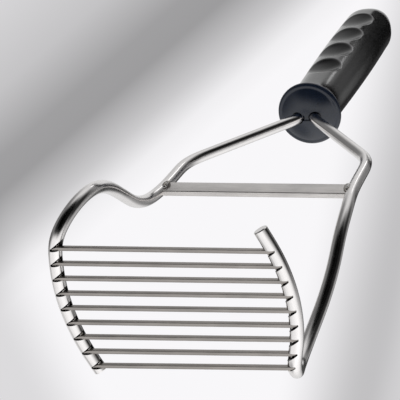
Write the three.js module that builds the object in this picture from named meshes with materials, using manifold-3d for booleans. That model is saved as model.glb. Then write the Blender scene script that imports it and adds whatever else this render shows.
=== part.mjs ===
// Hand masher with nine blade bars, two bent rods and a moulded handle.
//
// Frame: millimetres, +Z up. The tool stands on its two rails with the handle straight above.
// X runs along the blade bars and Y runs across them. The handle's axis is the Z axis. The right
// rod is the left rod turned half round about that axis, except for small differences in its rail.
import * as THREE from "three";
import { mergeVertices } from "three/addons/utils/BufferGeometryUtils.js";
import Module from "manifold-3d";

const wasm = await Module();
wasm.setup();

// Driving dimensions.
const ROD = 5; // diameter of the round stock that both bent rods are made of
const GAP = 0.3; // clearance between pieces that touch on the real tool

const BARS = 9;
const BAR_THICK = 1.3; // along Y
const BAR_TALL = 2; // along Z
const BAR_LIFT = 0.7; // the blade bars' underside above the rails' underside

// Each rail, as on the left of the tool: half is the rail's distance from the handle's axis at
// y = 0, and slant and bow are how much nearer it is at y = RAIL_REACH. free and bent are the
// lengths from y = 0 to the cut end and to the start of the hairpin bend. The blade bars sit
// pitch apart, with the middle one at middle.
const RAIL_REACH = 24;
const LEFT_RAIL = { half: 42.4, slant: 2.6, bow: 4.3, free: 27.8, bent: 24, pitch: 5.85, middle: 1.8 };
const RIGHT_RAIL = { half: 42.6, slant: 1.4, bow: 4.7, free: 27.3, bent: 23.5, pitch: -5.5, middle: -2.4 };

const LEG_SET = 1.6; // the legs stand this far out of the plane of the handle's axis
const STRIP_Z = 100.5; // middle of the cross strip
const STRIP_TALL = 9.5;
const STRIP_THICK = 2.3;
const STRIP_REACH = 40.3; // rod centre to the handle's axis at the cross strip

const SHOULDER = { x: 40.3, y: -1, z: 131.5 }; // corner where the rod turns in to the handle
const SHOULDER_BEND = 7; // how far from the corner the bend starts
const ENTRY = { x: 2.9, z: 184 }; // where the rod turns upright, inside the guard's dome
const ENTRY_BEND = 4;
const TANG_TOP = 222; // the rod's end inside the grip

const GUARD = { z: 188, thick: 4.2, radius: 14.8, rim: 1.9, dome: 5 };
const GRIP_LONG = 135.5;
const GRIP_WIDEST = 13.2; // half of the widest width
const GRIP_FLAT = 0.97; // depth along Y as a share of the width along X
const NECK = 11.4; // half width of the grip where it meets the guard

const SCOOPS = 4; // finger scoops in the front of the grip
const SCOOP_FIRST = 226;
const SCOOP_PITCH = 22.8;
const SCOOP_GROWTH = 1.3; // each scoop is this much further on, and half as much taller
const SCOOP = { wide: 15, deep: 4, tall: 9.8 }; // half sizes of the ball that cuts a scoop
const SCOOP_OUT = 1.4; // the ball's centre outside the grip's surface

const NOTCH_ROOF = 2.95; // top of the notch above the rail's underside
const NOTCH_MOUTH = 2.3; // extra width of the notch at the rail's inner side
const NOTCH_PAST = 1.2; // how far past the rail's centre line the notch ends
const BRAZE_REACH = 2.1; // rail centre line to the inner end of a braze fillet
const BRAZE_WIDE = 1.1;

const POLISHED = { color: 0xc9c9c6, metalness: 1, roughness: 0.16 };
const SATIN = { color: 0x9b9690, metalness: 1, roughness: 0.38 };
const BLACK = { color: 0x15171a, metalness: 0, roughness: 0.35 };

const radius = ROD / 2;
const vec = (x, y, z) => new THREE.Vector3(x, y, z);

// A closed geometry's solid for cutting and joining.
function solidOf(geometry, matrix) {
  const bare = geometry.clone();
  bare.deleteAttribute("normal");
  bare.deleteAttribute("uv");
  if (matrix) bare.applyMatrix4(matrix);
  const merged = mergeVertices(bare, 1e-4);
  const mesh = new wasm.Mesh({
    numProp: 3,
    vertProperties: new Float32Array(merged.attributes.position.array),
    triVerts: new Uint32Array(merged.index.array),
  });
  return new wasm.Manifold(mesh);
}

function geometryOf(solid) {
  const mesh = solid.getMesh();
  const geometry = new THREE.BufferGeometry();
  geometry.setAttribute("position", new THREE.BufferAttribute(mesh.vertProperties, 3));
  geometry.setIndex(new THREE.BufferAttribute(mesh.triVerts, 1));
  geometry.computeVertexNormals();
  return geometry;
}

function roundSection(r, sides) {
  const shape = new THREE.Shape();
  for (let i = 0; i < sides; i += 1) {
    const a = (i / sides) * 2 * Math.PI;
    if (i === 0) shape.moveTo(r * Math.cos(a), r * Math.sin(a));
    else shape.lineTo(r * Math.cos(a), r * Math.sin(a));
  }
  shape.closePath();
  return shape;
}

// An upright prism on a plan outline given as [x, y] corners.
function prism(corners, bottom, top) {
  const shape = new THREE.Shape(corners.map(([x, y]) => new THREE.Vector2(x, y)));
  const geometry = new THREE.ExtrudeGeometry(shape, { depth: top - bottom, bevelEnabled: false });
  geometry.translate(0, 0, bottom);
  return geometry;
}

// Distance from the handle's axis to a rail's centre line, at a given y.
function railHalf(rail, y) {
  const v = y / RAIL_REACH;
  return rail.half - rail.slant * v - rail.bow * v * v;
}

// Where a blade bar crosses a rail, on the rail's centre line.
function seat(rail, i) {
  const y = rail.middle + (i - (BARS - 1) / 2) * rail.pitch;
  return new THREE.Vector2(-railHalf(rail, y), y);
}

// A rod's centre line, as on the left: rail, hairpin bend, leg, shoulder, arm and tang.
class RodLine extends THREE.CurvePath {
  constructor(rail) {
    super();
    const flat = [];
    for (let i = 0; i <= 6; i += 1) {
      const y = rail.free - (i / 6) * (rail.free + rail.bent);
      flat.push(vec(-railHalf(rail, y), y, radius));
    }
    const leg = [
      vec(-38.2, -29.6, 7.6),
      vec(-36.0, -32.9, 16.3),
      vec(-35.2, -32.8, 27.0),
      vec(-36.2, -29.3, 38.1),
      vec(-38.2, -23.5, 49.6),
      vec(-40.0, -16, 61.2),
      vec(-40.9, -7.9, 73),
      vec(-41.2, -2.9, 86.2),
      vec(-STRIP_REACH, -LEG_SET, STRIP_Z),
    ];
    const shoulder = vec(-SHOULDER.x, SHOULDER.y, SHOULDER.z);
    const entry = vec(-ENTRY.x, 0, ENTRY.z);
    const tang = vec(-ENTRY.x, 0, TANG_TOP);
    const towards = (from, to, by) => to.clone().sub(from).setLength(by).add(from);
    const strip = leg[leg.length - 1];
    const bendIn = towards(shoulder, strip, SHOULDER_BEND);
    const bendOut = towards(shoulder, entry, SHOULDER_BEND);
    const entryIn = towards(entry, shoulder, ENTRY_BEND);
    const entryOut = towards(entry, tang, ENTRY_BEND);
    this.add(new THREE.CatmullRomCurve3([...flat, ...leg, bendIn], false, "centripetal"));
    this.add(new THREE.QuadraticBezierCurve3(bendIn, shoulder, bendOut));
    this.add(new THREE.LineCurve3(bendOut, entryIn));
    this.add(new THREE.QuadraticBezierCurve3(entryIn, entry, entryOut));
    this.add(new THREE.LineCurve3(entryOut, tang));
  }
}

// A round tube swept along a list of curves, closed at both ends, as one indexed surface.
function sweptRod(line, r, sides, steps) {
  return new THREE.ExtrudeGeometry(roundSection(r, sides), {
    steps,
    bevelEnabled: false,
    extrudePath: line,
  });
}

// The half turn that sets the right rod's pieces in their place.
const halfTurn = new THREE.Matrix4().makeRotationZ(Math.PI);
const turned180 = (point) => point.clone().negate();

// Plan of the notch for blade bar i in a rail, as on the left: it starts past the rail's centre
// line, runs out at the inner side, and widens there on its -Y side.
function notchPlan(rail, i) {
  const { x, y } = seat(rail, i);
  const near = BAR_THICK / 2 + GAP;
  return [
    [x - NOTCH_PAST, y + near],
    [x - NOTCH_PAST, y],
    [x + radius + 1, y - near - NOTCH_MOUTH],
    [x + radius + 1, y + near],
  ];
}

function bentRod(rail) {
  let solid = solidOf(sweptRod(new RodLine(rail), radius, 14, 110));
  for (let i = 0; i < BARS; i += 1) {
    solid = solid.subtract(solidOf(prism(notchPlan(rail, i), -1, NOTCH_ROOF)));
  }
  return solid;
}

// One blade bar, lying from its left seat to its right seat. Each end is pointed on the side
// where its notch narrows.
function bladeBar(i) {
  const from = seat(LEFT_RAIL, i);
  const to = turned180(seat(RIGHT_RAIL, i));
  const along = to.clone().sub(from);
  const past = NOTCH_PAST - GAP;
  const side = BAR_THICK / 2;
  const long = along.length();
  const outline = [
    [-past, 0],
    [past, -side],
    [long + past, -side],
    [long + past, 0],
    [long - past, side],
    [-past, side],
  ];
  const bar = prism(outline, BAR_LIFT, BAR_LIFT + BAR_TALL);
  bar.rotateZ(along.angle());
  bar.translate(from.x, from.y, 0);
  return bar;
}

// The braze fillet that fills the wide end of a notch, as on the left.
function brazeFillet(rail, i) {
  const { x, y } = seat(rail, i);
  const edge = y - BAR_THICK / 2 - GAP;
  const outline = [
    [x + 0.5, edge],
    [x + BRAZE_REACH, edge - BRAZE_WIDE],
    [x + BRAZE_REACH, edge],
  ];
  return prism(outline, BAR_LIFT + GAP, NOTCH_ROOF - GAP);
}

// The cross strip's box, thicker and taller by the given amounts. It turns a little about Z,
// because the legs stand on either side of the plane of the handle's axis.
function stripBox(thicker, taller) {
  const box = new THREE.BoxGeometry(2 * STRIP_REACH, STRIP_THICK + thicker, STRIP_TALL + taller);
  box.rotateZ(Math.atan2(LEG_SET, STRIP_REACH));
  box.translate(0, 0, STRIP_Z);
  return box;
}

// A weld bead in the corner between the left rod and the strip, on the side given by its sign.
function weldBead(rodSpace, side) {
  const bead = new THREE.SphereGeometry(1, 16, 10);
  const x = -STRIP_REACH + radius + 0.8;
  const y = -LEG_SET + (side * STRIP_THICK) / 2;
  const place = new THREE.Matrix4()
    .makeTranslation(x, y, STRIP_Z + 0.5)
    .multiply(new THREE.Matrix4().makeScale(1.9, 2, 3.2));
  return solidOf(bead, place).subtract(solidOf(stripBox(2 * GAP, 2))).subtract(rodSpace);
}

// A closed lathe solid from an outline of [radius, z] points that starts and ends on the axis.
function turned(outline, sides) {
  const lathe = new THREE.LatheGeometry(
    outline.map(([r, z]) => new THREE.Vector2(r, z)),
    sides,
  );
  lathe.rotateX(Math.PI / 2);
  return lathe;
}

// The guard's outline: a shallow dome below, a round rim, and a flat top under the grip.
function guardOutline() {
  const { z, thick, radius: outer, rim, dome } = GUARD;
  const points = [[0, z - dome]];
  for (let i = 1; i <= 8; i += 1) {
    const r = (i / 8) * (outer - rim);
    points.push([r, z - dome * (1 - (r / (outer - rim)) ** 2)]);
  }
  for (let i = 1; i <= 6; i += 1) {
    const a = (i / 6) * Math.PI;
    points.push([outer - rim + rim * Math.sin(a), z + rim * (1 - Math.cos(a))]);
  }
  points.push([NECK + 1, z + thick], [0, z + thick]);
  return points;
}

function handleGuard(rodSpaces) {
  const disc = solidOf(turned(guardOutline(), 48));
  return rodSpaces.reduce((rest, space) => rest.subtract(space), disc);
}

// Half width of the grip at a share of its length: a swelling below, a round dome at the end.
const DOME_SHARE = 0.86;
function gripHalf(share) {
  if (share > DOME_SHARE) {
    const u = (share - DOME_SHARE) / (1 - DOME_SHARE);
    return gripHalf(DOME_SHARE) * Math.sqrt(Math.max(0, 1 - u ** 2.2));
  }
  return NECK + (GRIP_WIDEST - NECK) * Math.sin(Math.min(share / 0.85, 1) * Math.PI * 0.62);
}

function gripOutline() {
  const foot = GUARD.z + GUARD.thick + GAP;
  const points = [[0, foot]];
  const rings = 36;
  for (let i = 0; i < rings; i += 1) {
    const share = Math.sin((i / rings) * (Math.PI / 2));
    points.push([gripHalf(share), foot + share * GRIP_LONG]);
  }
  points.push([0, foot + GRIP_LONG]);
  return points;
}

function handleGrip(rodSpaces) {
  const flatter = new THREE.Matrix4().makeScale(1, GRIP_FLAT, 1);
  let solid = solidOf(turned(gripOutline(), 48), flatter);
  for (let i = 0; i < SCOOPS; i += 1) {
    const ball = new THREE.SphereGeometry(1, 32, 20);
    const z = SCOOP_FIRST + i * SCOOP_PITCH + ((i * (i - 1)) / 2) * SCOOP_GROWTH;
    const half = gripHalf((z - GUARD.z - GUARD.thick) / GRIP_LONG);
    const tall = SCOOP.tall + (i * SCOOP_GROWTH) / 2;
    const place = new THREE.Matrix4()
      .makeTranslation(0, -half * GRIP_FLAT - SCOOP_OUT, z)
      .multiply(new THREE.Matrix4().makeScale(SCOOP.wide, SCOOP.deep, tall));
    solid = solid.subtract(solidOf(ball, place));
  }
  return rodSpaces.reduce((rest, space) => rest.subtract(space), solid);
}

const tool = new THREE.Group();

function addPiece(name, geometry, finish, turnedRound = false) {
  const mesh = new THREE.Mesh(geometry, new THREE.MeshStandardMaterial(finish));
  mesh.name = name;
  if (turnedRound) mesh.rotation.z = Math.PI;
  tool.add(mesh);
}

// The room that a rod takes in its neighbours, in the rod's own place on the left.
const rodRoom = (rail) => solidOf(sweptRod(new RodLine(rail), radius + GAP, 20, 110));
const leftRoom = rodRoom(LEFT_RAIL);
const rightRoom = rodRoom(RIGHT_RAIL);
const rodSpaces = [leftRoom, rightRoom.transform(halfTurn.elements)];

addPiece("left_rod", geometryOf(bentRod(LEFT_RAIL)), POLISHED);
addPiece("right_rod", geometryOf(bentRod(RIGHT_RAIL)), POLISHED, true);
const strip = rodSpaces.reduce((rest, space) => rest.subtract(space), solidOf(stripBox(0, 0)));
addPiece("cross_strip", geometryOf(strip), SATIN);
for (const [side, word, opposite] of [[-1, "front", "back"], [1, "back", "front"]]) {
  addPiece(`strip_weld_left_${word}`, geometryOf(weldBead(leftRoom, side)), SATIN);
  addPiece(`strip_weld_right_${opposite}`, geometryOf(weldBead(rightRoom, side)), SATIN, true);
}
for (let i = 0; i < BARS; i += 1) {
  addPiece(`blade_bar_${i + 1}`, bladeBar(i), SATIN);
  addPiece(`braze_left_${i + 1}`, brazeFillet(LEFT_RAIL, i), SATIN);
  addPiece(`braze_right_${i + 1}`, brazeFillet(RIGHT_RAIL, i), SATIN, true);
}
addPiece("handle_guard", geometryOf(handleGuard(rodSpaces)), BLACK);
addPiece("handle_grip", geometryOf(handleGrip(rodSpaces)), BLACK);

export default tool;
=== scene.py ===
import math

import bmesh
import bpy
from bpy.props import FloatProperty, FloatVectorProperty, PointerProperty
from mathutils import Matrix, Vector, noise


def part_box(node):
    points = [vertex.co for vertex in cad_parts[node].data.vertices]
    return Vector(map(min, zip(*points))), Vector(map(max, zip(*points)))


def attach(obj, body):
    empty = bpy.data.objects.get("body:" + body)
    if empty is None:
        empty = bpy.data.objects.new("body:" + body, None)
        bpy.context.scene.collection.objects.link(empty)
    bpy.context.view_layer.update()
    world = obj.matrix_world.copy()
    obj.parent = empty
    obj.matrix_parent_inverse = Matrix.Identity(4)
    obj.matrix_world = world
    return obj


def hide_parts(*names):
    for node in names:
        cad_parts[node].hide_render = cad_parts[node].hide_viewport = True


bl_info = {
    "name": "Hand Masher",
    "version": (1, 0, 0),
    "blender": (4, 5, 0),
    "location": "View3D > Sidebar > Hand Masher",
    "description": "Makes the finished pieces of a rigid hand masher around its frame",
    "category": "Add Mesh",
}

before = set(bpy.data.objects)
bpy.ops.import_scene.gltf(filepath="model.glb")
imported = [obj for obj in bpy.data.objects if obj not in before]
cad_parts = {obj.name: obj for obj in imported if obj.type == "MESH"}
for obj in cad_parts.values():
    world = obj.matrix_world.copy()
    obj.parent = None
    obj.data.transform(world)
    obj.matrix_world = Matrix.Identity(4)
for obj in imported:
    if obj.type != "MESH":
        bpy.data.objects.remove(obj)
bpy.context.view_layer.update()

MM = 0.001
BARS = 9
BODY = "root"
HALF_TURN = Matrix.Rotation(math.pi, 4, "Z")


def span(node, axis):
    """A node's length along one axis of the frame."""
    low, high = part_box(node)
    return high[axis] - low[axis]


# The frame's own measures, in millimetres. Each rail is given as on the left of the tool: half is
# its distance from the handle's axis at y = 0, and slant and bow are how much nearer it is at
# y = RAIL_REACH. free and bent are its lengths to the cut end and to the hairpin bend. The blade
# bars sit pitch apart, with the middle one at middle.
ROD = 5.0
RAIL_REACH = 24.0
LEFT_RAIL = dict(half=42.4, slant=2.6, bow=4.3, free=27.8, bent=24.0, pitch=5.85, middle=1.8)
RIGHT_RAIL = dict(half=42.6, slant=1.4, bow=4.7, free=27.3, bent=23.5, pitch=-5.5, middle=-2.4)
# Points of the leg's centre line from the hairpin bend up towards the cross strip, as on the left.
LEG = [
    (-38.2, -29.6, 7.6),
    (-36.0, -32.9, 16.3),
    (-35.2, -32.8, 27.0),
    (-36.2, -29.3, 38.1),
    (-38.2, -23.5, 49.6),
    (-40.0, -16.0, 61.2),
    (-40.9, -7.9, 73.0),
    (-41.2, -2.9, 86.2),
]
STRIP_END = Vector((-40.3, -1.6, 100.5))  # the rod's centre beside the strip's middle
SHOULDER = Vector((-40.3, -1.0, 131.5))  # corner where the rod turns in to the handle
SHOULDER_BEND = 7.0  # how far from the corner the bend starts
ENTRY = Vector((-2.9, 0.0, 184.0))  # where the rod turns upright, inside the guard's dome
ENTRY_BEND = 4.0
TANG_TOP = 222.0  # the rod's end inside the grip
NOTCH_ROOF = 2.95  # top of a notch above the rail's underside
NOTCH_PAST = 1.2  # how far past the rail's centre line a notch ends
NOTCH_MOUTH = 2.3  # extra width of a notch at the rail's inner side
GUARD_Z = 188.0  # where the guard's dome meets its rim
GUARD_THICK = 4.2  # from there up to the guard's flat top
GUARD_RIM = 1.9  # radius of the rim's edge
GRIP_FLAT = 0.97  # the grip's depth as a share of its width

# Details of the finished pieces, in millimetres.
BAR_ROOM = 0.12  # between a blade bar and the sides of its notch
NOTCH_HEEL = 0.7  # width of a notch at its narrow end
NOTCH_OPEN = 1.0  # how far a notch's cut runs out of the rail
BRAZE_NEAR = 0.7  # from the rail's centre line to a fillet's narrow end
BRAZE_FAR = 2.1  # and to its wide end
OPENING_ROOM = 0.35  # between a rod and the guard
OPENING_FROM = 168.0  # the stretch of rod above this shapes the guard's opening
SLOT_HALF = (3.2, 1.3)  # half sizes of the slot between the openings
SLOT_FROM = 170.0
SLOT_ROOF = 184.0
GUARD_SEAT = 11.9  # radius of the guard's flat top
STRIP_SHORT = 1.9  # the strip's end stops this far short of the rod's centre
BEAD_HALF_WIDE = 1.35
BEAD_HALF_TALL = 3.3
BEAD_LIFT = 0.6  # a weld bead's middle above the strip's

# The finger scoops, in millimetres.
SCOOPS = 4
SCOOP_FIRST = 225.2  # middle of the lowest scoop
SCOOP_PITCH = 22.8  # from the lowest scoop to the next
SCOOP_GROWTH = 1.3  # each scoop is this much taller than the last, and each pitch this much longer
SCOOP_SHIFT = 1.4  # how far to the left of the grip's middle the scoops lie
SCOOP_HALF_WIDE = 12.8
SCOOP_HALF_TALL = 9.8  # of the lowest scoop
LIP_SOFT = 0.03  # rounding of a scoop's lip
LIP_RAISED = 0.087  # puts back what the rounding takes off at the lip
LIP_NARROW = 30.0  # how quickly that fades away from the lip

# The grip's half width along its length, as shares of its length and of its widest half width.
GRIP_FOOT = 0.864
GRIP_SWELL = 0.136
SWELL_UNTIL = 0.85  # where along the grip the swell stops changing
SWELL_TURN = 0.62  # in half turns of a sine
FLARE = 0.10  # extra width at the guard
FLARE_FADE = 34.0
DOME_FROM = 0.89
SQUARENESS = 2.4  # 2 would be a round section
SQUARE_SIDE = 0.955  # because the section's softly squared corners stand out further


# --- settings that a user would change ---------------------------------------------------------


class MasherSizes(bpy.types.PropertyGroup):
    """Sizes of the details that the finished pieces add to the frame."""

    end_chamfer: FloatProperty(
        name="Rod end chamfer", description="Chamfer at a rod's cut end", default=0.0003, unit="LENGTH"
    )
    bar_edge: FloatProperty(
        name="Bar edge", description="Rounding of a blade bar's edges", default=0.00016, unit="LENGTH"
    )
    bar_thick: FloatProperty(
        name="Bar thickness", description="Thickness of a blade bar", default=0.0013, unit="LENGTH"
    )
    bar_tall: FloatProperty(
        name="Bar height",
        description="Height of a blade bar",
        default=span("blade_bar_5", 2),
        unit="LENGTH",
    )
    strip_tall: FloatProperty(
        name="Strip height",
        description="Height of the cross strip",
        default=span("cross_strip", 2),
        unit="LENGTH",
    )
    strip_thick: FloatProperty(
        name="Strip thickness", description="Thickness of the cross strip", default=0.0023, unit="LENGTH"
    )
    guard_wide: FloatProperty(
        name="Guard width",
        description="Diameter of the round guard",
        default=span("handle_guard", 0),
        unit="LENGTH",
    )
    grip_wide: FloatProperty(
        name="Grip width",
        description="Widest width of the grip",
        default=span("handle_grip", 0),
        unit="LENGTH",
    )
    scoop_deep: FloatProperty(
        name="Scoop depth", description="Depth of a finger scoop", default=0.0033, unit="LENGTH"
    )


class MasherColours(bpy.types.PropertyGroup):
    """Colours of the masher's finishes and of its studio."""

    polished: FloatVectorProperty(
        name="Polished rod", description="Polished rod", default=(0.88, 0.857, 0.85), subtype="COLOR"
    )
    bar: FloatVectorProperty(
        name="Blade bar",
        description="Satin steel of the bars",
        default=(0.38, 0.355, 0.335),
        subtype="COLOR",
    )
    # Painted shade: this near-black colour on the notches' cut faces stands in for the shade inside the
    # notches.
    cut: FloatVectorProperty(
        name="Cut faces",
        description="Cut steel inside the notches",
        default=(0.05, 0.048, 0.047),
        subtype="COLOR",
    )
    strip: FloatVectorProperty(
        name="Cross strip",
        description="Satin steel of the strip",
        default=(0.66, 0.635, 0.62),
        subtype="COLOR",
    )
    weld: FloatVectorProperty(
        name="Weld", description="Weld and braze metal", default=(0.95, 0.93, 0.91), subtype="COLOR"
    )
    grip: FloatVectorProperty(
        name="Grip",
        description="Black plastic of the grip",
        default=(0.0025, 0.0025, 0.003),
        subtype="COLOR",
    )
    guard: FloatVectorProperty(
        name="Guard",
        description="Black plastic of the guard",
        default=(0.008, 0.014, 0.029),
        subtype="COLOR",
    )
    floor: FloatVectorProperty(
        name="Floor", description="Studio floor", default=(0.80, 0.80, 0.81), subtype="COLOR"
    )


def size(name):
    """One of the user's sizes, in millimetres."""
    return getattr(bpy.context.scene.masher_sizes, name) / MM


# --- shader nodes ------------------------------------------------------------------------------


class Tree:
    """Adds nodes to one node tree and links them by name."""

    def __init__(self, tree):
        self.tree = tree

    def add(self, kind, **inputs):
        """A node of a kind. Inputs go by name, or as _0, _1 and so on by number, and each is a
        value or another node's output socket."""
        node = self.tree.nodes.new(kind)
        for name, value in inputs.items():
            numbered = name[1:].isdigit()
            socket = node.inputs[int(name[1:]) if numbered else name.replace("_", " ")]
            if isinstance(value, bpy.types.NodeSocket):
                self.tree.links.new(value, socket)
            else:
                socket.default_value = value
        return node

    def maths(self, operation, a, b=0.0, c=0.0):
        """One sum, product or other operation on up to three values."""
        node = self.add("ShaderNodeMath", _0=a, _1=b, _2=c)
        node.operation = operation
        return node.outputs[0]

    def smooth(self, value, low, high, to_low=0.0, to_high=1.0):
        """A soft step from to_low, at low, to to_high, at high."""
        node = self.add("ShaderNodeMapRange", _0=value, _1=low, _2=high, _3=to_low, _4=to_high)
        node.interpolation_type = "SMOOTHSTEP"
        return node.outputs[0]

    def spots(self, place, scale, detail=3.0, rough=0.5):
        """Soft random patches over the piece."""
        node = self.add("ShaderNodeTexNoise", Vector=place, Scale=scale, Detail=detail, Roughness=rough)
        return node.outputs[0]

    def place(self, stretch=(1.0, 1.0, 1.0)):
        """The point on the piece, stretched along the frame's axes."""
        point = self.add("ShaderNodeTexCoord").outputs["Object"]
        node = self.add("ShaderNodeVectorMath", _0=point, _1=stretch)
        node.operation = "MULTIPLY"
        return node.outputs[0]

    def tones(self, value, stops):
        """A ramp of (position, colour) stops."""
        ramp = self.add("ShaderNodeValToRGB", Fac=value)
        elements = ramp.color_ramp.elements
        while len(elements) < len(stops):
            elements.new(0.5)
        for element, (position, colour) in zip(elements, stops):
            element.position = position
            element.color = (*colour, 1.0)
        return ramp.outputs[0]


def shade(colour, by):
    """A lighter or darker tone of a colour."""
    return tuple(min(1.0, channel * by) for channel in colour)


def new_finish(name, metallic):
    """A material with an empty Principled shader, as (material, tree, shader)."""
    material = bpy.data.materials.new(name)
    material.use_nodes = True
    shader = material.node_tree.nodes["Principled BSDF"]
    shader.inputs["Metallic"].default_value = metallic
    return material, Tree(material.node_tree), shader


def finish_surface(tree, shader, colour, roughness, height, strength, distance):
    """Links a finish's varying colour, roughness and relief to its shader."""
    tree.tree.links.new(colour, shader.inputs["Base Color"])
    tree.tree.links.new(roughness, shader.inputs["Roughness"])
    bump = tree.add("ShaderNodeBump", Strength=strength, Distance=distance, Height=height)
    tree.tree.links.new(bump.outputs[0], shader.inputs["Normal"])


def polished_rod_finish():
    """Polished stainless steel with faint buffing haze."""
    colour = bpy.context.scene.masher_colours.polished
    material, tree, shader = new_finish("polished_rod", 1.0)
    haze = tree.spots(tree.place(), 160.0, 4.0, 0.6)
    grain = tree.spots(tree.place(), 2600.0, 2.0)
    tint = tree.tones(haze, [(0.3, shade(colour, 0.93)), (0.7, shade(colour, 1.03))])
    rough = tree.smooth(haze, 0.3, 0.75, 0.15, 0.22)
    finish_surface(tree, shader, tint, rough, grain, 0.04, 0.0002)
    return material


def drawn_steel_finish(name, colour, stretch, rough):
    """Satin stainless steel with its grain along the piece."""
    material, tree, shader = new_finish(name, 1.0)
    grain = tree.spots(tree.place(stretch), 1.0, 4.0, 0.65)
    patches = tree.spots(tree.place(), 90.0, 3.0)
    mixed = tree.maths("ADD", tree.maths("MULTIPLY", grain, 0.6), tree.maths("MULTIPLY", patches, 0.4))
    tint = tree.tones(mixed, [(0.32, shade(colour, 0.72)), (0.5, tuple(colour)), (0.68, shade(colour, 1.3))])
    roughness = tree.smooth(mixed, 0.3, 0.7, rough - 0.05, rough + 0.09)
    finish_surface(tree, shader, tint, roughness, grain, 0.12, 0.0002)
    return material


def weld_finish():
    """Dull weld and braze metal with a faint straw tint."""
    colour = bpy.context.scene.masher_colours.weld
    material, tree, shader = new_finish("weld_metal", 1.0)
    patches = tree.spots(tree.place(), 420.0, 4.0, 0.6)
    grain = tree.spots(tree.place(), 2400.0, 3.0)
    straw = (colour[0] * 1.06, colour[1] * 0.98, colour[2] * 0.86)
    tint = tree.tones(patches, [(0.3, shade(colour, 0.7)), (0.5, tuple(colour)), (0.72, straw)])
    finish_surface(tree, shader, tint, tree.smooth(patches, 0.3, 0.7, 0.38, 0.55), grain, 0.25, 0.0003)
    return material


def moulded_black_finish(name, colour, low, high, coat):
    """Black moulded plastic with a fine spark-eroded grain and slight rubbing."""
    material, tree, shader = new_finish(name, 0.0)
    shader.inputs["IOR"].default_value = 1.5
    shader.inputs["Coat Weight"].default_value = coat
    shader.inputs["Coat Roughness"].default_value = 0.14
    rubbed = tree.spots(tree.place(), 70.0, 4.0, 0.6)
    grain = tree.spots(tree.place(), 5200.0, 2.0)
    tint = tree.tones(rubbed, [(0.3, shade(colour, 0.85)), (0.7, shade(colour, 1.25))])
    finish_surface(tree, shader, tint, tree.smooth(rubbed, 0.3, 0.7, low, high), grain, 0.06, 0.0002)
    return material


FINISHES = {}


def finish(slot):
    """The material for a finish, made when it is first asked for."""
    if slot not in FINISHES:
        colours = bpy.context.scene.masher_colours
        makers = {
            "polished_rod": polished_rod_finish,
            "satin_bar": lambda: drawn_steel_finish("satin_bar", colours.bar, (60.0, 3600.0, 3600.0), 0.34),
            "satin_strip": lambda: drawn_steel_finish(
                "satin_strip", colours.strip, (50.0, 2600.0, 2600.0), 0.33
            ),
            "weld_metal": weld_finish,
            # The notches' cut faces get a near-black steel, which is painted shade inside the notches.
            "notch_shade_steel": lambda: drawn_steel_finish("notch_shade_steel", colours.cut, (900.0, 900.0, 900.0), 0.4),
            "black_grip": lambda: moulded_black_finish("black_grip", colours.grip, 0.09, 0.14, 0.5),
            "black_guard": lambda: moulded_black_finish("black_guard", colours.guard, 0.20, 0.28, 0.2),
        }
        FINISHES[slot] = makers[slot]()
    return FINISHES[slot]


# --- shapes ------------------------------------------------------------------------------------


def rail_half(rail, y):
    """Distance from the handle's axis to a rail's centre line."""
    v = y / RAIL_REACH
    return rail["half"] - rail["slant"] * v - rail["bow"] * v * v


def seat(rail, i):
    """Where blade bar i crosses a rail, as on the left."""
    y = rail["middle"] + (i - (BARS - 1) / 2) * rail["pitch"]
    return Vector((-rail_half(rail, y), y, 0.0))


def through(points, steps):
    """A smooth line through points, with some steps between each two of them."""
    ends = [points[0] * 2 - points[1], *points, points[-1] * 2 - points[-2]]
    line = []
    for a, b, c, d in zip(ends, ends[1:], ends[2:], ends[3:]):
        t0, t1, t2 = (b - a).length ** 0.5, (c - b).length ** 0.5, (d - c).length ** 0.5
        out = ((b - a) / t0 - (c - a) / (t0 + t1) + (c - b) / t1) * t1
        into = ((c - b) / t1 - (d - b) / (t1 + t2) + (d - c) / t2) * t1
        for k in range(steps):
            t = k / steps
            near = (b - c) * 2 + out + into
            far = (c - b) * 3 - out * 2 - into
            line.append(((near * t + far) * t + out) * t + b)
    return [*line, points[-1].copy()]


def bend(start, corner, end, steps):
    """A round bend from start to end that heads for a corner."""
    line = []
    for k in range(1, steps + 1):
        t = k / steps
        line.append(start * (1 - t) ** 2 + corner * (2 * t * (1 - t)) + end * t * t)
    return line


def evenly(line, step):
    """The same line with its points the same distance apart."""
    lengths = [0.0]
    for a, b in zip(line, line[1:]):
        lengths.append(lengths[-1] + (b - a).length)
    count = round(lengths[-1] / step)
    even, k = [], 0
    for n in range(count + 1):
        want = lengths[-1] * n / count
        while k < len(line) - 2 and lengths[k + 1] < want:
            k += 1
        even.append(line[k].lerp(line[k + 1], (want - lengths[k]) / max(lengths[k + 1] - lengths[k], 1e-9)))
    return even


def eased(line, rounds):
    """The line with its small kinks smoothed out, as a bending machine leaves it."""
    for _ in range(rounds):
        line = [line[0], *((a + b * 2 + c) / 4 for a, b, c in zip(line, line[1:], line[2:])), line[-1]]
    return line


def towards(start, end, by):
    """The point some way from start on the straight line to end."""
    return start + (end - start).normalized() * by


def rod_line(rail):
    """A rod's centre line, as on the left, from its free end to the top of its tang."""
    flat = []
    for k in range(7):
        y = rail["free"] - k / 6 * (rail["free"] + rail["bent"])
        flat.append(Vector((-rail_half(rail, y), y, ROD / 2)))
    tang = Vector((ENTRY.x, ENTRY.y, TANG_TOP))
    bend_in = towards(SHOULDER, STRIP_END, SHOULDER_BEND)
    line = through([*flat, *(Vector(p) for p in LEG), STRIP_END, bend_in], 24)
    line += bend(bend_in, SHOULDER, towards(SHOULDER, ENTRY, SHOULDER_BEND), 20)
    entry_in = towards(ENTRY, SHOULDER, ENTRY_BEND)
    line.append(entry_in)
    line += bend(entry_in, ENTRY, towards(ENTRY, tang, ENTRY_BEND), 12)
    line.append(tang)
    return eased(evenly(line, 0.7), 40)


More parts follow.
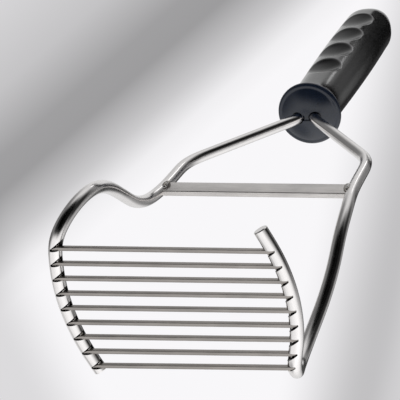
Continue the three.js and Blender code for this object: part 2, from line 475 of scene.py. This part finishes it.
def mesh_object(name, shape, smooth_angle=35.0, scale=MM):
    """An object from a bmesh in millimetres, smooth but for edges sharper than an angle."""
    bmesh.ops.recalc_face_normals(shape, faces=shape.faces)
    bmesh.ops.scale(shape, vec=(scale,) * 3, verts=shape.verts)
    mesh = bpy.data.meshes.new(name)
    shape.to_mesh(mesh)
    shape.free()
    mesh.shade_smooth()
    mesh.set_sharp_from_angle(angle=math.radians(smooth_angle))
    piece = bpy.data.objects.new(name, mesh)
    bpy.context.scene.collection.objects.link(piece)
    return piece


def rings_shape(rings, shape=None):
    """A closed skin over rings of points, each with the same number of points."""
    shape = shape or bmesh.new()
    made = [[shape.verts.new(point) for point in ring] for ring in rings]
    for low, high in zip(made, made[1:]):
        for k, corner in enumerate(low):
            following = (k + 1) % len(low)
            shape.faces.new((corner, low[following], high[following], high[k]))
    shape.faces.new(made[0][::-1])
    shape.faces.new(made[-1])
    return shape


def rod_rings(line, radius, sides, chamfer):
    """Rings of points for a round rod along a line, with chamfered ends."""
    first, last = towards(line[0], line[1], chamfer), towards(line[-1], line[-2], chamfer)
    points = [line[0], first, *line[1:-1], last, line[-1]]
    radii = [radius - chamfer, *[radius] * (len(points) - 2), radius - chamfer]
    across = Vector((0.0, 0.0, 1.0))
    rings = []
    for k, (point, r) in enumerate(zip(points, radii)):
        along = (points[min(k + 1, len(points) - 1)] - points[max(k - 1, 0)]).normalized()
        across = (across - along * across.dot(along)).normalized()
        other = along.cross(across)
        angles = [2 * math.pi * n / sides for n in range(sides)]
        rings.append([point + (across * math.cos(a) + other * math.sin(a)) * r for a in angles])
    return rings


def prism(corners, bottom, top, shape=None):
    """An upright prism on a plan of corners, added to a shape if there is one."""
    rings = [[Vector((x, y, z)) for x, y in corners] for z in (bottom, top)]
    return rings_shape(rings, shape)


def cut_away(piece, shape, slot, turned=False):
    """Takes a shape's space out of a piece, and leaves the cut faces with a finish."""
    cutter = mesh_object("cutter", shape)
    if turned:
        cutter.data.transform(HALF_TURN)
    cutter.data.materials.append(finish(slot))
    step = piece.modifiers.new("cut", "BOOLEAN")
    step.object = cutter
    step.operation = "DIFFERENCE"
    step.solver = "EXACT"
    step.material_mode = "TRANSFER"
    settle(piece)
    bpy.data.objects.remove(cutter)


def settle(piece):
    """Makes a piece's modifiers part of its mesh."""
    made = piece.evaluated_get(bpy.context.evaluated_depsgraph_get())
    mesh = bpy.data.meshes.new_from_object(made)
    piece.modifiers.clear()
    piece.data = mesh
    if not mesh.polygons:
        raise RuntimeError(f"{piece.name} came out empty")


def settle_sharp(piece, angle):
    """Shades a cut piece smooth but for edges sharper than an angle."""
    piece.data.shade_smooth()
    piece.data.set_sharp_from_angle(angle=math.radians(angle))


def hand_over(piece, slot, node):
    """Gives a piece its finish and its place in the frame."""
    if not piece.data.materials:
        piece.data.materials.append(finish(slot))
    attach(piece, BODY)
    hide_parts(node)


# --- pieces ------------------------------------------------------------------------------------


def notches(rail):
    """The shape of a rail's notches, as on the left: each is wider at the rail's inner side."""
    shape = bmesh.new()
    near = size("bar_thick") / 2 + BAR_ROOM
    for i in range(BARS):
        place = seat(rail, i)
        end, mouth = place.x - NOTCH_PAST, place.x + ROD / 2 + NOTCH_OPEN
        corners = [
            (end, place.y + near),
            (end, place.y + near - NOTCH_HEEL),
            (mouth, place.y - near - NOTCH_MOUTH),
            (mouth, place.y + near),
        ]
        prism(corners, -NOTCH_OPEN, NOTCH_ROOF, shape)
    return shape


def bent_rod(name, rail, turned):
    """A bent rod with the notches for its blade bars."""
    rings = rod_rings(rod_line(rail), ROD / 2, 48, size("end_chamfer"))
    piece = mesh_object(name, rings_shape(rings))
    piece.data.materials.append(finish("polished_rod"))
    # The notches' cut faces take the near-black steel, as painted shade inside the notches.
    cut_away(piece, notches(rail), "notch_shade_steel")
    if turned:
        piece.data.transform(HALF_TURN)
    settle_sharp(piece, 30.0)
    return piece


def blade_bar(i):
    """One blade bar with rounded edges, pointed where its notches narrow."""
    start, end = seat(LEFT_RAIL, i), -seat(RIGHT_RAIL, i)
    long = (end - start).length
    side, blunt, slope = size("bar_thick") / 2, 0.1, 0.4
    past = NOTCH_PAST - blunt
    corners = [
        (-past, blunt),
        (past, -side),
        (long + past - slope, -side),
        (long + past, -blunt),
        (long - past, side),
        (-past + slope, side),
    ]
    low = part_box(f"blade_bar_{i + 1}")[0].z / MM
    shape = prism(corners, low, low + size("bar_tall"))
    edges = shape.edges[:]
    bmesh.ops.bevel(shape, geom=edges, offset=size("bar_edge"), segments=3, profile=0.5, affect="EDGES")
    turn = Matrix.Rotation(math.atan2(end.y - start.y, end.x - start.x), 4, "Z")
    bmesh.ops.transform(shape, matrix=Matrix.Translation(start) @ turn, verts=shape.verts)
    return mesh_object(f"bar_{i + 1}", shape, 40.0)


def melted(piece, size, depth, seed):
    """Rounds a small piece and gives it the uneven skin of metal that has run."""
    step = piece.modifiers.new("round", "SUBSURF")
    step.levels = step.render_levels = 3
    settle(piece)
    shift = Vector((seed * 3.7, seed * 1.3, seed * 2.1))
    for vertex in piece.data.vertices:
        vertex.co += vertex.normal * (noise.noise(vertex.co / (size * MM) + shift) * depth * MM)
    piece.data.shade_smooth()


def braze_fillet(name, rail, i, turned):
    """The braze metal that fills the wide end of a notch."""
    place = seat(rail, i)
    edge = place.y - size("bar_thick") / 2
    corners = [
        (place.x + BRAZE_NEAR, edge + 0.15),
        (place.x + BRAZE_NEAR + 0.2, edge - 0.35),
        (place.x + BRAZE_FAR - 0.2, edge - 1.25),
        (place.x + BRAZE_FAR, edge + 0.15),
    ]
    piece = mesh_object(name, prism(corners, 0.8, NOTCH_ROOF + 0.2))
    melted(piece, 0.9, 0.16, i + (9 if turned else 0))
    if turned:
        piece.data.transform(HALF_TURN)
    return piece


def strip_turn():
    """The strip's small turn about the handle's axis, because the legs are offset."""
    return Matrix.Rotation(math.atan2(STRIP_END.y, STRIP_END.x) - math.pi, 4, "Z")


def cross_strip():
    """The flat cross strip, its long edges rounded and its ends set a little into the rods."""
    half = Vector(STRIP_END.xy).length - STRIP_SHORT
    thick, tall = size("strip_thick") / 2, size("strip_tall") / 2
    corners = [(-half, -thick), (half, -thick), (half, thick), (-half, thick)]
    shape = prism(corners, STRIP_END.z - tall, STRIP_END.z + tall)
    long_edges = [e for e in shape.edges if abs(e.verts[0].co.x - e.verts[1].co.x) > 1.0]
    bmesh.ops.bevel(shape, geom=long_edges, offset=0.45, segments=4, profile=0.5, affect="EDGES")
    bmesh.ops.transform(shape, matrix=strip_turn(), verts=shape.verts)
    return mesh_object("strip", shape, 40.0)


def weld_bead(name, side, turned):
    """A rippled weld bead down the corner between a rod and the strip."""
    rings = []
    steps, sides, steps_per_ripple = 36, 20, 4.5
    middle_x = STRIP_END.x + ROD / 2 - 0.75
    middle_y = STRIP_END.y + side * (size("strip_thick") / 2 + 0.45)
    for k in range(steps + 1):
        t = -1 + 2 * k / steps
        ripple = 1 + 0.09 * math.cos(k * 2 * math.pi / steps_per_ripple)
        wide = max(0.08, BEAD_HALF_WIDE * (1 - abs(t) ** 2.6) ** 0.5 * ripple)
        z = STRIP_END.z + BEAD_LIFT + BEAD_HALF_TALL * t
        angles = [2 * math.pi * n / sides for n in range(sides)]
        offsets = [(wide * 1.1 * math.cos(a), wide * 0.8 * math.sin(a)) for a in angles]
        rings.append([Vector((middle_x + x, middle_y + y, z)) for x, y in offsets])
    piece = mesh_object(name, rings_shape(rings), 60.0)
    shift = Vector((side, turned, 5))
    for vertex in piece.data.vertices:
        vertex.co += vertex.normal * (noise.noise(vertex.co / (1.1 * MM) + shift) * 0.2 * MM)
    if turned:
        piece.data.transform(HALF_TURN)
    return piece


def lathe_rings(outline, sides):
    """Rings round the handle's axis for an outline of (radius, height) points."""
    angles = [2 * math.pi * n / sides for n in range(sides)]
    return [[Vector((r * math.cos(a), r * math.sin(a), z)) for a in angles] for r, z in outline]


def guard_outline():
    """The guard's outline: a shallow dome, a round rim and a step under the grip."""
    rim_middle = size("guard_wide") / 2 - GUARD_RIM
    dome = GUARD_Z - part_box("handle_guard")[0].z / MM
    top = GUARD_Z + GUARD_THICK
    outline = [(0.4, GUARD_Z - dome)]
    for k in range(1, 25):
        r = k / 24 * rim_middle
        outline.append((max(r, 0.5), GUARD_Z - dome * (1 - (r / rim_middle) ** 2)))
    for k in range(1, 17):
        a = k / 16 * math.pi
        outline.append((rim_middle + GUARD_RIM * math.sin(a), GUARD_Z + GUARD_RIM * (1 - math.cos(a))))
    outline += [(rim_middle - 1.0, GUARD_Z + 2 * GUARD_RIM + 0.1), (GUARD_SEAT, top), (0.5, top)]
    return outline


def handle_guard():
    """The domed guard, with a rounded opening round each rod and a shallow slot between them."""
    piece = mesh_object("guard", rings_shape(lathe_rings(guard_outline(), 128)), 50.0)
    piece.data.materials.append(finish("black_guard"))
    line = [p for p in rod_line(LEFT_RAIL) if p.z > OPENING_FROM]
    rings = rod_rings(line, ROD / 2 + OPENING_ROOM, 40, 0.05)
    for turned in (False, True):
        cut_away(piece, rings_shape(rings), "black_guard", turned)
    x, y = SLOT_HALF
    slot = prism([(-x, -y), (x, -y), (x, y), (-x, y)], SLOT_FROM, SLOT_ROOF)
    cut_away(piece, slot, "black_guard")
    settle_sharp(piece, 40.0)
    return piece


def grip_half(share):
    """Half width of the grip at a share of its length, against its widest half width."""
    swell = GRIP_FOOT + GRIP_SWELL * math.sin(min(share / SWELL_UNTIL, 1.0) * math.pi * SWELL_TURN)
    if share <= DOME_FROM:
        return swell + FLARE * math.exp(-share * FLARE_FADE)
    u = (share - DOME_FROM) / (1 - DOME_FROM)
    return swell * max(0.0, 1 - u**3) ** 0.5


def scooped(x, y, z, front):
    """The y of a point on the grip, moved in with a soft lip where a finger scoop takes it away."""
    deep = size("scoop_deep")
    for i in range(SCOOPS):
        middle = SCOOP_FIRST + i * SCOOP_PITCH + i * (i - 1) / 2 * SCOOP_GROWTH
        half_tall = SCOOP_HALF_TALL + i * SCOOP_GROWTH / 2
        bowl = 1 - ((x + SCOOP_SHIFT) / SCOOP_HALF_WIDE) ** 2 - ((z - middle) / half_tall) ** 2
        if y < 0 and bowl > -0.6:
            over = front + deep * bowl - y
            y += (over + math.sqrt(over * over + LIP_SOFT)) / 2
            y -= LIP_RAISED / (1 + LIP_NARROW * over * over)
    return y


def handle_grip():
    """The moulded grip: a softly squared section, four finger scoops and a round end."""
    low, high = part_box("handle_grip")
    foot, long = low.z / MM, (high.z - low.z) / MM
    widest = size("grip_wide") / 2 * SQUARE_SIDE
    rings, steps, sides = [], 300, 144
    for k in range(steps):
        share = math.sin(k / steps * math.pi / 2) ** 1.15
        half = grip_half(share) * widest
        z = foot + share * long
        ring = []
        for n in range(sides):
            a = 2 * math.pi * n / sides
            c, s = math.cos(a), math.sin(a)
            r = half / (abs(c) ** SQUARENESS + abs(s) ** SQUARENESS) ** (1 / SQUARENESS)
            x, y = r * c, r * s * GRIP_FLAT
            ring.append(Vector((x, scooped(x, y, z, -half * GRIP_FLAT), z)))
        rings.append(ring)
    return mesh_object("grip", rings_shape(rings), 70.0)


# --- studio ------------------------------------------------------------------------------------

CAMERA_AZIMUTH = 43.7
CAMERA_ELEVATION = -59.3
CAMERA_ROLL = 38.1
CAMERA_DISTANCE = 0.520
CAMERA_LENS = 126.0
SENSOR = 36.0
AIM = Vector((-0.0043, -0.0173, 0.0513))
FLOOR_DROP = 1.6
LAMP_PLACE = Vector((0.15, -0.56, 1.25))
LAMP_AIM = Vector((0.0, 0.0, 0.2))
LAMP_SIZE = 0.16
LAMP_POWER = 0.1

# Stops of the backdrop's grey from its top left corner to its middle, as (position, level).
BACKDROP = ((0.0, 0.67), (0.12, 0.55), (0.21, 0.35), (0.26, 0.335), (0.33, 0.59), (0.38, 0.87), (0.42, 0.94))


def camera_axes():
    """Directions to the right, down and forward of the picture, in the frame."""
    a, e = math.radians(CAMERA_AZIMUTH), math.radians(CAMERA_ELEVATION)
    back = Vector((math.sin(a) * math.cos(e), -math.cos(a) * math.cos(e), math.sin(e)))
    upright = (Vector((0, 0, 1)) - back * back.z).normalized()
    up = Matrix.Rotation(math.radians(CAMERA_ROLL), 3, back) @ upright
    return up.cross(back), -up, -back


def make_camera():
    """The camera, below and in front, with its picture turned so that the bars lie level."""
    right, down, forward = camera_axes()
    data = bpy.data.cameras.new("camera")
    data.lens = CAMERA_LENS
    data.sensor_width = SENSOR
    camera = bpy.data.objects.new("camera", data)
    bpy.context.scene.collection.objects.link(camera)
    turn = Matrix((right, -down, -forward)).transposed().to_4x4()
    camera.matrix_world = Matrix.Translation(AIM - forward * CAMERA_DISTANCE) @ turn
    bpy.context.scene.camera = camera


def along(tree, direction, vector):
    """How far a direction points along a vector."""
    node = tree.add("ShaderNodeVectorMath", _0=direction, _1=tuple(vector))
    node.operation = "DOT_PRODUCT"
    return node.outputs["Value"]


def backdrop_light(tree, direction):
    """The pale backdrop: a soft grey band from the top to the left, and darker far corners."""
    right, down, forward = camera_axes()
    depth = tree.maths("MAXIMUM", along(tree, direction, forward), 0.05)
    wide = SENSOR / 2 / CAMERA_LENS
    across = tree.maths("DIVIDE", along(tree, direction, right / wide), depth)
    below = tree.maths("DIVIDE", along(tree, direction, down / wide), depth)
    slanted = tree.maths("MULTIPLY_ADD", below, 1.15, across)
    corner = tree.maths("MULTIPLY_ADD", slanted, 0.2326, 0.5)
    band = tree.tones(corner, [(at, (grey, grey * 0.99, grey * 1.01)) for at, grey in BACKDROP])
    far = tree.maths("MULTIPLY_ADD", below, 0.22, across)
    right_side = tree.smooth(far, 0.58, 1.04, 1.0, 0.57)
    corner_lift = tree.smooth(far, 1.05, 1.22, 1.0, 1.18)
    left = tree.maths("SUBTRACT", tree.maths("MULTIPLY", below, 0.5), across)
    left_side = tree.smooth(left, 0.95, 1.35, 1.0, 0.76)
    mixed = tree.add("ShaderNodeMix", _0=1.0)
    mixed.data_type = "RGBA"
    mixed.blend_type = "MULTIPLY"
    tree.tree.links.new(band, mixed.inputs[6])
    sides = tree.maths("MULTIPLY", tree.maths("MULTIPLY", right_side, corner_lift), left_side)
    tree.tree.links.new(sides, mixed.inputs[7])
    return mixed.outputs[2]


class Screen:
    """A soft-edged screen or reflector in the studio, seen in the masher's reflections."""

    def __init__(self, azimuth, elevation, reach, fade, level):
        a, e = math.radians(azimuth), math.radians(elevation)
        self.centre = Vector((math.cos(a) * math.cos(e), math.sin(a) * math.cos(e), math.sin(e)))
        self.reach, self.fade, self.level = math.radians(reach), math.radians(fade), level

    def factor(self, tree, direction):
        """What the screen multiplies the light from a direction by."""
        angle = tree.maths("ARCCOSINE", along(tree, direction, self.centre))
        return tree.smooth(angle, self.reach, self.fade, self.level, 1.0)


# Azimuth and elevation of each screen's middle, its reach and where it fades out, in degrees, and
# its brightness against the light round it.
SCREENS = {
    "front right": Screen(300, -18, 32, 60, 0.005),
    "front": Screen(258, -22, 22, 50, 0.04),
    "front left": Screen(212, 10, 26, 62, 0.24),
    "right": Screen(345, 22, 14, 52, 0.03),
    "high right": Screen(352, 57, 14, 30, 0.5),
    "high back": Screen(45, 52, 12, 32, 0.5),
    "high far back": Screen(88, 64, 10, 22, 0.08),
    "left": Screen(175, 6, 8, 34, 0.5),
    "low back left": Screen(128, -16, 8, 32, 0.5),
    "back reflector": Screen(70, -12, 16, 50, 1.3),
    "low right reflector": Screen(40, -55, 14, 50, 1.15),
}


def studio_light(tree, direction):
    """The light round the masher: bright all round but for dark screens and a black flag."""
    height = along(tree, direction, (0, 0, 1))
    level = tree.smooth(height, -0.95, 0.95, 1.0, 0.74)
    for screen in SCREENS.values():
        level = tree.maths("MULTIPLY", level, screen.factor(tree, direction))
    above, below = tree.smooth(height, 0.908, 0.917), tree.smooth(height, 0.972, 0.962)
    to_right = tree.smooth(along(tree, direction, (0.940, -0.342, 0)), 0.02, 0.07)
    flag = tree.maths("MULTIPLY", tree.maths("MULTIPLY", above, below), to_right)
    return tree.maths("MULTIPLY", level, tree.maths("MULTIPLY_ADD", flag, -0.98, 1.0))


def make_world():
    """A pale studio: one look for the camera, and one for what lights the masher."""
    world = bpy.data.worlds.new("studio")
    world.use_nodes = True
    bpy.context.scene.world = world
    tree = Tree(world.node_tree)
    for node in list(world.node_tree.nodes):
        world.node_tree.nodes.remove(node)
    direction = tree.add("ShaderNodeTexCoord").outputs["Generated"]
    shown = tree.add("ShaderNodeBackground", Color=backdrop_light(tree, direction))
    lit = tree.add("ShaderNodeBackground", Color=(1.0, 1.0, 1.0, 1.0), Strength=studio_light(tree, direction))
    seen = tree.add("ShaderNodeLightPath").outputs["Is Camera Ray"]
    mix = tree.add("ShaderNodeMixShader", _0=seen, _1=lit.outputs[0], _2=shown.outputs[0])
    tree.add("ShaderNodeOutputWorld", Surface=mix.outputs[0])


def make_floor():
    """The plain pale floor, far below, because the camera looks up at the masher."""
    colour = bpy.context.scene.masher_colours.floor
    shape = bmesh.new()
    bmesh.ops.create_grid(shape, x_segments=8, y_segments=8, size=60.0)
    floor = mesh_object("floor", shape, scale=1.0)
    floor.location.z = -FLOOR_DROP
    material, tree, shader = new_finish("floor_paper", 0.0)
    cloud = tree.spots(tree.place(), 0.5, 2.0)
    tint = tree.tones(cloud, [(0.2, shade(colour, 0.98)), (0.8, shade(colour, 1.02))])
    tree.tree.links.new(tint, shader.inputs["Base Color"])
    shader.inputs["Roughness"].default_value = 0.8
    shader.inputs["Emission Color"].default_value = (1.0, 1.0, 1.0, 1.0)
    shader.inputs["Emission Strength"].default_value = 0.35
    floor.data.materials.append(material)
    floor.visible_glossy = False


def make_lamp():
    """The small lamp, high up in front of the masher."""
    data = bpy.data.lights.new("high_front_lamp", "AREA")
    data.shape = "DISK"
    data.size = LAMP_SIZE
    data.energy = LAMP_POWER
    lamp = bpy.data.objects.new("high_front_lamp", data)
    bpy.context.scene.collection.objects.link(lamp)
    turn = (LAMP_AIM - LAMP_PLACE).to_track_quat("-Z", "Y")
    lamp.matrix_world = Matrix.Translation(LAMP_PLACE) @ turn.to_matrix().to_4x4()


# --- operators ---------------------------------------------------------------------------------


class MASHER_OT_stage(bpy.types.Operator):
    """Make the floor, the backdrop, the lamp and the camera"""

    bl_idname = "masher.stage"
    bl_label = "Stage"

    def execute(self, context):
        context.scene.view_settings.view_transform = "Standard"
        make_camera()
        make_world()
        make_floor()
        make_lamp()
        return {"FINISHED"}


class MASHER_OT_rods(bpy.types.Operator):
    """Make the two bent rods with their notches"""

    bl_idname = "masher.rods"
    bl_label = "Bent rods"

    def execute(self, context):
        hand_over(bent_rod("left_bent_rod", LEFT_RAIL, False), "polished_rod", "left_rod")
        hand_over(bent_rod("right_bent_rod", RIGHT_RAIL, True), "polished_rod", "right_rod")
        return {"FINISHED"}


class MASHER_OT_bars(bpy.types.Operator):
    """Make the blade bars"""

    bl_idname = "masher.bars"
    bl_label = "Blade bars"

    def execute(self, context):
        for i in range(BARS):
            hand_over(blade_bar(i), "satin_bar", f"blade_bar_{i + 1}")
        return {"FINISHED"}


class MASHER_OT_braze(bpy.types.Operator):
    """Make the braze metal in the notches"""

    bl_idname = "masher.braze"
    bl_label = "Braze metal"

    def execute(self, context):
        for word, rail, turned in (("left", LEFT_RAIL, False), ("right", RIGHT_RAIL, True)):
            for i in range(BARS):
                piece = braze_fillet(f"{word}_braze_{i + 1}", rail, i, turned)
                hand_over(piece, "weld_metal", f"braze_{word}_{i + 1}")
        return {"FINISHED"}


class MASHER_OT_strip(bpy.types.Operator):
    """Make the flat cross strip"""

    bl_idname = "masher.strip"
    bl_label = "Cross strip"

    def execute(self, context):
        hand_over(cross_strip(), "satin_strip", "cross_strip")
        return {"FINISHED"}


class MASHER_OT_welds(bpy.types.Operator):
    """Make the weld beads at the strip's ends"""

    bl_idname = "masher.welds"
    bl_label = "Weld beads"

    def execute(self, context):
        for side, face, opposite in ((-1, "front", "back"), (1, "back", "front")):
            left = weld_bead(f"left_{face}_weld", side, False)
            hand_over(left, "weld_metal", f"strip_weld_left_{face}")
            right = weld_bead(f"right_{opposite}_weld", side, True)
            hand_over(right, "weld_metal", f"strip_weld_right_{opposite}")
        return {"FINISHED"}


class MASHER_OT_guard(bpy.types.Operator):
    """Make the round guard under the grip"""

    bl_idname = "masher.guard"
    bl_label = "Guard"

    def execute(self, context):
        hand_over(handle_guard(), "black_guard", "handle_guard")
        return {"FINISHED"}


class MASHER_OT_grip(bpy.types.Operator):
    """Make the grip with its finger scoops"""

    bl_idname = "masher.grip"
    bl_label = "Grip"

    def execute(self, context):
        hand_over(handle_grip(), "black_grip", "handle_grip")
        return {"FINISHED"}


STEPS = (
    MASHER_OT_stage,
    MASHER_OT_rods,
    MASHER_OT_bars,
    MASHER_OT_braze,
    MASHER_OT_strip,
    MASHER_OT_welds,
    MASHER_OT_guard,
    MASHER_OT_grip,
)


class MASHER_PT_panel(bpy.types.Panel):
    """Lists the masher's settings and the steps that make it"""

    bl_label = "Hand Masher"
    bl_idname = "MASHER_PT_panel"
    bl_space_type = "VIEW_3D"
    bl_region_type = "UI"
    bl_category = "Hand Masher"

    def draw(self, context):
        for group in (context.scene.masher_sizes, context.scene.masher_colours):
            for name in group.bl_rna.properties.keys():
                if name not in {"rna_type", "name"}:
                    self.layout.prop(group, name)
        for step in STEPS:
            self.layout.operator(step.bl_idname)


CLASSES = (MasherSizes, MasherColours, *STEPS, MASHER_PT_panel)


def register():
    """Adds the settings, the operators and the panel."""
    for cls in CLASSES:
        bpy.utils.register_class(cls)
    bpy.types.Scene.masher_sizes = PointerProperty(type=MasherSizes)
    bpy.types.Scene.masher_colours = PointerProperty(type=MasherColours)


def unregister():
    """Takes out what register adds."""
    del bpy.types.Scene.masher_colours
    del bpy.types.Scene.masher_sizes
    for cls in reversed(CLASSES):
        bpy.utils.unregister_class(cls)


def main():
    """Makes every piece and the stage in order."""
    register()
    for step in STEPS:
        group, name = step.bl_idname.split(".")
        getattr(getattr(bpy.ops, group), name)()


if __name__ == "__main__":
    main()
